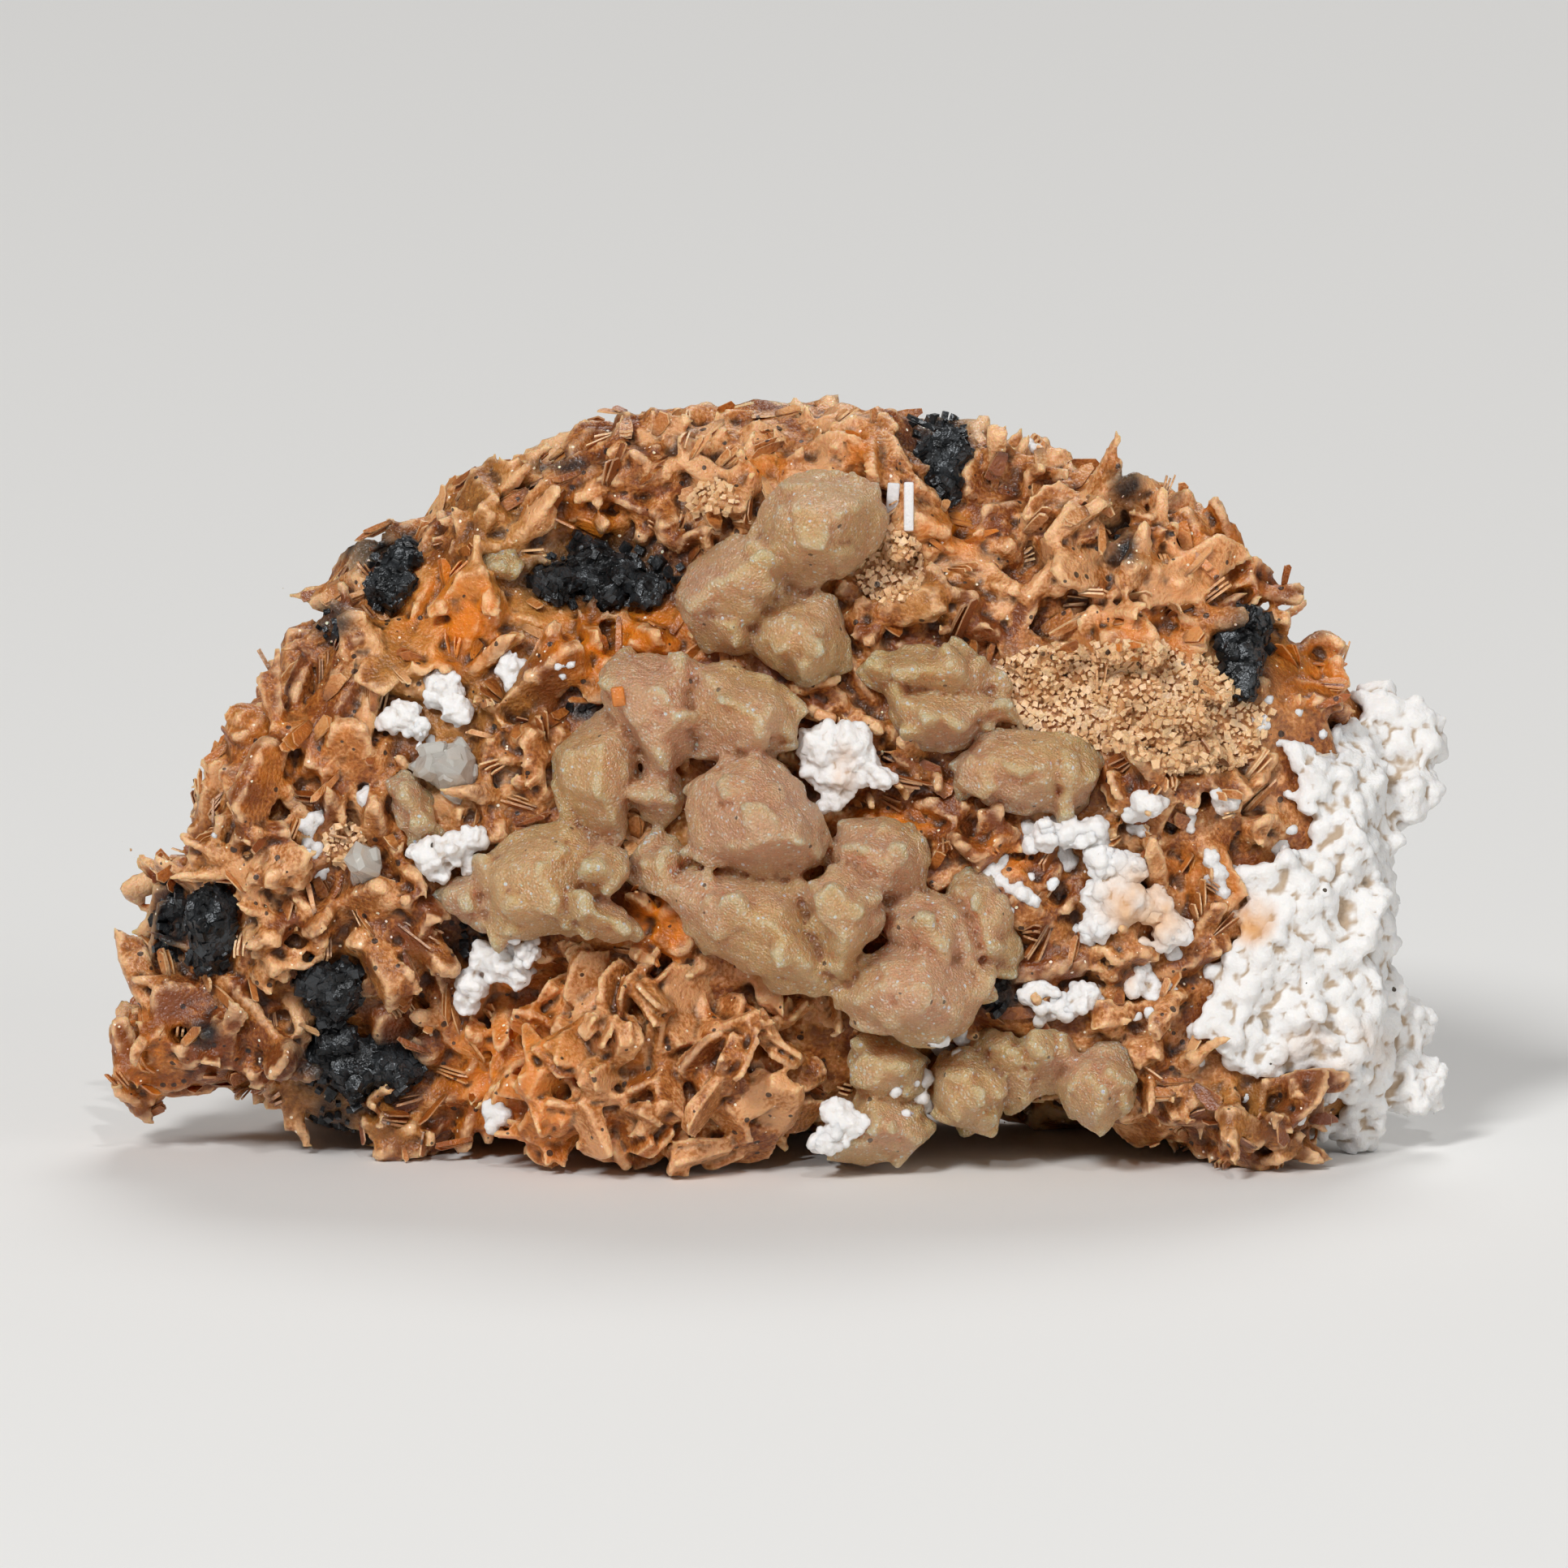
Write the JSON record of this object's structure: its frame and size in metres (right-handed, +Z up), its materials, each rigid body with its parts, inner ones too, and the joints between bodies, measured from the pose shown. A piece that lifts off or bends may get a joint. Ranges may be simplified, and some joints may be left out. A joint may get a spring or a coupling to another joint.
{
  "type": "mineral specimen, barite with cerussite",
  "caption": "Half-moon block of bladed rock, standing on its flat heel, with frosted crystals on its front, a rosette of blades at its foot and a white knobbly crust over one end.",
  "frame": {"origin": "middle of the box's underside, on the surface that the specimen stands on", "axes": "+X along the specimen's length to the white end, +Y to its back, +Z up"},
  "size_m": [0.0828, 0.0388, 0.0463],
  "materials": {
    "barite": "satin peach-brown mineral blades with paler edges, stained orange in places",
    "frosted_cerussite": "frosted translucent tan crystal with a fine sparkle",
    "clear_cerussite": "clear glassy crystal",
    "white_carbonate": "matt snow-white knobbly crust",
    "galena": "dark grey granular metal sheen"
  },
  "bodies": {
    "root": {"barite_matrix": "barite", "barite_rosette": "barite", "cerussite_bead": "clear_cerussite", "cerussite_button": "frosted_cerussite", "cerussite_foot": "frosted_cerussite", "cerussite_glassy": "clear_cerussite", "cerussite_lower_row": "frosted_cerussite", "cerussite_middle": "frosted_cerussite", "cerussite_peak": "frosted_cerussite", "cerussite_prism": "frosted_cerussite", "cerussite_right": "frosted_cerussite", "cerussite_upper": "frosted_cerussite", "galena_crest": "galena", "galena_foot": "galena", "galena_left": "galena", "galena_left_edge": "galena", "galena_pocket": "galena", "galena_right": "galena", "galena_shoulder": "galena", "puff_foot": "white_carbonate", "puff_left_a": "white_carbonate", "puff_left_b": "white_carbonate", "puff_left_c": "white_carbonate", "puff_low_a": "white_carbonate", "puff_low_b": "white_carbonate", "puff_middle": "white_carbonate", "puff_right": "white_carbonate", "puff_rosette": "white_carbonate", "puff_upper_a": "white_carbonate", "puff_upper_b": "white_carbonate", "puff_upper_c": "white_carbonate", "white_crust": "white_carbonate"}
  },
  "joints": []
}
